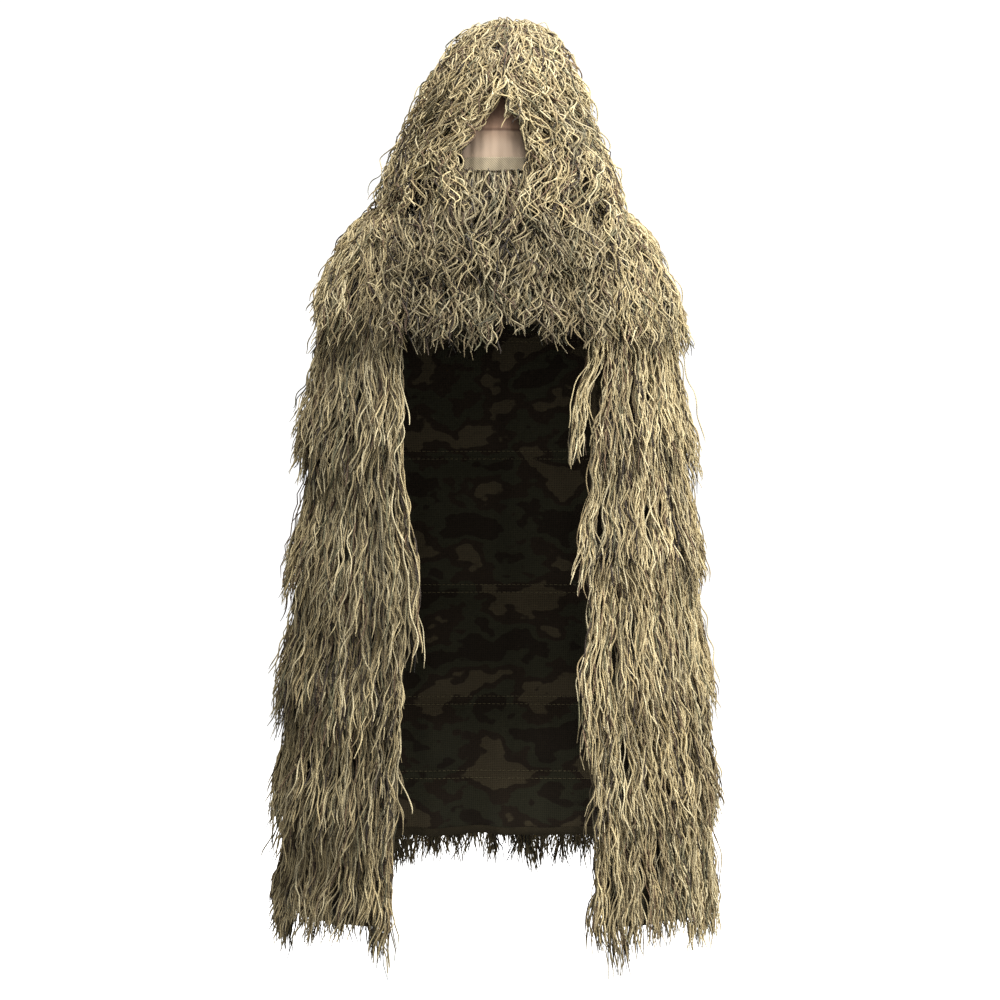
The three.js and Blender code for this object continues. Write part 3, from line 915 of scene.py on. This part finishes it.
for name, lane, count, seed, end, slope, trim in [
    ("back", back_lane, 950, 21, 1020, 0.0, None),
    ("left", shoulder_lane(1), 900, 22, 1012, 0.10, None),
    ("right", shoulder_lane(-1), 900, 23, 1022, 0.16, side_notch),
]:
    upper = fringe(f"upper_{name}", cape, lane, SHOULDER_HEADS[0], 1140, count // 2, seed + 5, 1.6,
                   [(0.004, 0.009), (0.008, 0.016), (0.010, 0.023), (0.012, 0.028)], 0.5, loose=0.010)
    lower = fringe(f"lower_{name}", cape, lane, SHOULDER_HEADS[1], end, count, seed, 1.4,
                   [(0.003, 0.008), (0.004, 0.012), (0.010, 0.024), (0.016, 0.036)],
                   slope=slope, ragged=0.7, loose=0.010, trim=trim)
    attach(join(f"yarn_shoulder_{name}", [upper, lower]),
                                "cape", YARN_SLOT, f"shoulder_fringe_{name}")

for i, (top, end) in enumerate(zip(BACK_HEADS, BACK_ENDS)):
    is_last = i == len(BACK_HEADS) - 1
    yarn = fringe(f"yarn_back_{i + 1}", cape, back_cloth_lane, top, end, 1050 if is_last else 850,
                  30 + i, 0.85, ragged=0.88 if is_last else 0.78)
    attach(yarn, "cape", YARN_SLOT, f"back_fringe_{i + 1}")

# ---- Front panels ----------------------------------------

# Metres of a panel's front that its binding covers
BINDING = 0.010


def edge_binding(name, side):
    """Tape folded over a panel's front edge, from the yoke to the hem."""
    down = np.linspace(cape.drop(PANEL_TOP), cape.drop(PANEL_HEM + 4), 90)
    x = cape.at(down, 4)[:, None] - 0.0006 - BINDING * np.array([1.0, 0.5, 0.0])[None, :]
    round_ = cape.front(np.repeat(down, 3), x.ravel()).reshape(x.shape)
    round_ = round_ if side > 0 else 1 - round_
    wobble = 0.0015 * np.sin(down * 40 + side)[:, None]
    outer, inner = [cape.place(down[:, None], round_, out + wobble) for out in (0.0015, -0.0045)]
    return strip(name, outer, inner, TAPE)


for name, side in (("left", 1), ("right", -1)):
    body = f"{name}_front"
    lane = side_lane(side, overlap=SEAM_ALLOWANCE / 2)
    folds = Folds(cape, lane, PANEL_TOP + PANEL_TUCK, PANEL_HEM + PANEL_LIFT, 0.009, 40 + side,
                  PANEL_HEADS)
    panel = attach(cloth(f"cloth_{name}", folds.grid(170, 121), NET),
                   body, NET_SLOT, f"{name}_panel", bends=True)
    outer, inner = folds.hem_band(81)
    pieces = [
        attach(strip(f"{name}_hem", outer, inner, TAPE), body, TAPE_SLOT, f"{name}_hem_tape"),
        attach(edge_binding(f"{name}_binding", side), body, TAPE_SLOT, f"{name}_edge_binding",
               bends=True),
        attach(headers(f"{name}_headers", lane, PANEL_HEADS), body, TAPE_SLOT, bends=True),
        attach(stitches(f"{name}_stitches", folds), body, TAPE_SLOT, bends=True),
    ]
    for i, (end, slope, sweep, flare) in enumerate(PANEL_ENDS[side]):
        is_last = i == len(PANEL_HEADS) - 1
        room = [(0.002, 0.006), (0.002, 0.007), (0.007, 0.020), (0.015, flare + 0.008)]
        # The wearer's right panel's yarn is darkened: painted shade on the side turned away from the
        # key light.
        yarn = fringe(f"yarn_{name}_{i + 1}", cape, side_lane(side, EDGE_OVERHANG, YARN_OVERLAP),
                      PANEL_HEADS[i], end, 1000 if is_last else 780, 50 + 10 * side + i, 0.85, room,
                      0.32, 0.06, slope, sweep=sweep, ragged=0.86 if is_last else 0.74,
                      tone=1.0 if side > 0 else 0.87)
        pieces.append(attach(yarn, body, YARN_SLOT, f"{name}_fringe_{i + 1}", bends=i < 2))

# ---- Hood ------------------------------------------------

hood_cloth = attach(
    cloth("cloth_hood", Folds(hood, face_lane, 1555, HOOD_HEM, 0.002, 61).grid(70, 161), NET),
    "hood", NET_SLOT, "hood_shell")

HOOD_SPILL = 0.007
CROWN_ROOM = [(0.001, 0.005), (0.002, 0.008), (0.006, 0.018), (0.008, 0.023)]
HOOD_ROOM = [(0.003, 0.009), (0.004, 0.012), (0.008, 0.021), (0.010, 0.027)]

crown_rows = [
    fringe(f"crown_{i}", hood, brow_lane, *CROWN_ROWS[i], count, 70 + i, 2.0, CROWN_ROOM, 0.5,
           HOOD_SPILL, ragged=0.6, scatter=scatter, loose=0.008)
    for i, (count, scatter) in enumerate([(280, 0.013), (380, 0.0), (500, 0.0)])
]
hood_yarn = [attach(join("yarn_crown", crown_rows), "hood", YARN_SLOT, "hood_fringe_crown")]
for i, (top, end) in enumerate(HOOD_ROWS):
    yarn = fringe(f"yarn_hood_{i + 1}", hood, brow_lane, top, end, 950 + 100 * i, 80 + i, 2.1,
                  HOOD_ROOM, 0.4, HOOD_SPILL, ragged=0.62, loose=0.015)
    hood_yarn.append(attach(yarn, "hood", YARN_SLOT, f"hood_fringe_{i + 1}"))


def hood_front(x, height):
    """Y of the hood's front at x and a height, in millimetres in and metres out."""
    down = hood.drop(height)
    return hood.point(down, hood.front(down, np.asarray(x) / 1000))[..., 1]


def arch_points(grow):
    """X and height round the face opening, grown by some millimetres, from its left foot over the brow
    to its right foot."""
    turn = np.linspace(0, math.pi, 41)
    x = (FACE_HALF + grow) * np.cos(turn)
    height = FACE_SPRING + (BROW + grow - FACE_SPRING) * np.sin(turn)
    foot = np.linspace(HOOD_HEM, FACE_SPRING, 21)[:-1]
    left = np.full_like(foot, FACE_HALF + grow)
    return FACE_X + np.concatenate([left, x, -left]), np.concatenate([foot, height, foot[::-1]])


def arch_face(out):
    """One face of the binding round the opening, some metres in front of the hood."""
    edges = [arch_points(grow) for grow in (1, 7, 14)]
    return np.stack([
        np.stack([x / 1000, hood_front(x, height) - out, (height - NECK_HEIGHT) / 1000], -1)
        for x, height in edges
    ], 1)


binding = attach(strip("face_binding", arch_face(0.0043), arch_face(0.0018), TAPE),
                 "hood", TAPE_SLOT, "face_opening_binding")

# ---- Veil ------------------------------------------------

heights = np.linspace(VEIL_TOP, VEIL_HEM, 60)[:, None]
x = FACE_X + (face_half(heights) - 6) * np.linspace(-1, 1, 61)[None, :]
levels = np.broadcast_to(heights, x.shape)
fall = (VEIL_TOP - heights) / (VEIL_TOP - VEIL_HEM)
ripple = 0.0010 * np.sin(x * 0.13 + fall * 2) + 0.0003 * np.sin(x * 0.41 + 1)
y = hood_front(x, levels) + 0.002 + ripple * (0.3 + fall) + 0.006 * fall
veil_points = np.stack([x / 1000, y, (levels - NECK_HEIGHT) / 1000], -1)
veil = attach(cloth("veil", veil_points, VEIL), "veil", VEIL_SLOT, "face_veil")
tape_thickness = np.array([0, 0.0012, 0])
hem_points = veil_points[-10:] - tape_thickness
veil_hem = attach(strip("veil_hem_band", hem_points - tape_thickness, hem_points, HEM),
                  "veil", TAPE_SLOT, "veil_hem")


class VeilSurface(Surface):
    """The hood's front across the face opening: round_ runs from 0 at the wearer's left to 1. The
    strands on it start within 2 * base millimetres of each other and spread as they fall."""

    middle, base, spread = FACE_X, 7, 0.62

    def point(self, down, round_):
        height = VEIL_TOP - np.asarray(down) * 1000
        across = 1 - 2 * np.asarray(round_)
        x = self.middle + (self.base + self.spread * (VEIL_TOP - height)) * signed_power(across, 0.55)
        y = hood_front(x, height)
        return np.stack(np.broadcast_arrays(x / 1000, y, (height - NECK_HEIGHT) / 1000), -1)

    def drop(self, height):
        return (VEIL_TOP - height) / 1000


BROW_ROOM = [(0.004, 0.010), (0.006, 0.014), (0.008, 0.022), (0.008, 0.024)]
brow_surface = VeilSurface(HOOD, HOOD_POWER, 0.92, 0.03)
lock_surface = VeilSurface(HOOD, HOOD_POWER, 0.92, 0.03)
lock_surface.middle, lock_surface.base, lock_surface.spread = 26, 5, 0.06
brow_wide = fringe("brow_wide", brow_surface, whole_lane, VEIL_TOP, 1366, 34, 90, 1.3, BROW_ROOM, 1.0,
                   ragged=0.45)
brow_lock = fringe("brow_lock", lock_surface, whole_lane, VEIL_TOP, 1350, 16, 91, 1.8, BROW_ROOM, 1.0,
                   ragged=0.6)
brow = attach(join("yarn_brow", [brow_wide, brow_lock]), "veil", YARN_SLOT, "brow_fringe")

# ---- Bib -------------------------------------------------

flap = attach(cloth("cloth_bib", Folds(bib, whole_lane, BIB_TOP, BIB_HEM, 0.003, 62).grid(50, 81), NET),
              "bib", NET_SLOT, "bib_flap")
outer, inner = row_band(bib, whole_lane, BIB_HEM + 2, 0.013, 61, -0.004, 0.001)
bib_hem = attach(strip("bib_hem", outer, inner, TAPE), "bib", TAPE_SLOT, "bib_hem_tape")


def bib_crest(top):
    """How far below the row's line a strand starts, where the bib's rounded shoulder is lower."""

    def crest(start):
        across = np.abs(1 - 2 * start) * BIB_HANG
        outline = np.interp(across, [62, 98, 143, 157, 168], [1250, 1228, 1204, 1160, 1120])
        outline = np.where(across < 60, 1400, outline)
        return bib_hang.drop(np.minimum(outline, top)) - bib_hang.drop(top)

    return crest


def bib_notch(start):
    """The lowest row is shorter in a stretch near the middle."""
    return 1 - 0.30 * np.exp(-(((start - 0.40) / 0.11) ** 2))


# For each row of the bib: its room, lift and trim
BIB_TOP_ROOM = [(0.006, 0.015), (0.012, 0.026), (0.014, 0.032), (0.016, 0.038)]
BIB_STYLES = [(BIB_TOP_ROOM, 0.022, None), (ROOM, 0.006, None), (ROOM, 0.006, bib_notch)]

for i, (room, lift, trim) in enumerate(BIB_STYLES):
    top, end = BIB_ROWS[i]
    # The bib's yarn is darkened with tone: painted shade under the hood.
    yarn = fringe(f"yarn_bib_{i + 1}", bib_hang, whole_lane, top, end, 640, 95 + i, 1.9, room, 0.45,
                  0.012, crest=bib_crest(top), ragged=0.62, lift=lift, tone=0.62, trim=trim)
    attach(yarn, "bib", YARN_SLOT, f"bib_fringe_{i + 1}")

# ---- Snaps keep their CAD solids -------------------------

for i in (1, 2, 3):
    for node in (f"snap_stud_{i}", f"snap_socket_{i}"):
        obj = bpy.data.objects[node]
        obj.data.materials.clear()
        obj.data.materials.append(METAL)

# ---- Floor and light -------------------------------------

FLOOR_HEIGHT, FLOOR_REACH, BEND_RADIUS, WALL_TOP = -1.50, 4.5, 1.5, 8.0

turn = np.linspace(0, math.pi / 2, 17)
bend = np.stack([FLOOR_REACH + BEND_RADIUS * np.sin(turn),
                 FLOOR_HEIGHT + BEND_RADIUS * (1 - np.cos(turn))], -1)
section = np.concatenate([
    [[0.0, FLOOR_HEIGHT], [2.0, FLOOR_HEIGHT]], bend, [[FLOOR_REACH + BEND_RADIUS, WALL_TOP]],
])
spin = np.linspace(0, 2 * math.pi, 97)
bowl = np.stack([section[:, :1] * np.cos(spin), section[:, :1] * np.sin(spin),
                 np.broadcast_to(section[:, 1:], (len(section), len(spin)))], -1)
pale = Nodes("pale_floor", 0.9, Emission_Strength=0.42)
pale.shader.inputs["Emission Color"].default_value = grey(1.0)
mottled = pale.ramp(pale.noise(None, 2.0), [(0.0, grey(0.92)), (1.0, grey(0.94))])
backdrop = cloth("backdrop", bowl, pale.finish(mottled))
backdrop.visible_diffuse = False
backdrop.visible_glossy = False
backdrop.visible_transmission = False
backdrop.visible_shadow = False

world = bpy.data.worlds.new("world")
world.use_nodes = True
background = world.node_tree.nodes["Background"]
background.inputs["Color"].default_value = grey(1.0)
background.inputs["Strength"].default_value = 0.40
bpy.context.scene.world = world


def softbox(name, place, aim, size, power):
    """A square light of size metres, pointing from its place at aim."""
    light = bpy.data.lights.new(name, "AREA")
    light.size = size
    light.energy = power
    obj = bpy.data.objects.new(name, light)
    obj.location = place
    away = np.array(place) - np.array(aim)
    obj.rotation_euler = (math.atan2(math.hypot(away[0], away[1]), away[2]), 0,
                          math.atan2(away[0], -away[1]))
    bpy.context.collection.objects.link(obj)


softbox("key", (2.8, -1.8, 0.5), (0, 0, -0.6), 1.1, 185)
softbox("top", (-0.2, -1.1, 2.4), (0, 0, 0), 1.1, 145)
softbox("fill", (-2.2, -2.8, 0.2), (0, 0, -0.7), 1.8, 6)
softbox("back", (-0.9, 3.0, 1.3), (0, 0, -0.4), 1.8, 85)
bpy.context.scene.view_settings.view_transform = "Standard"
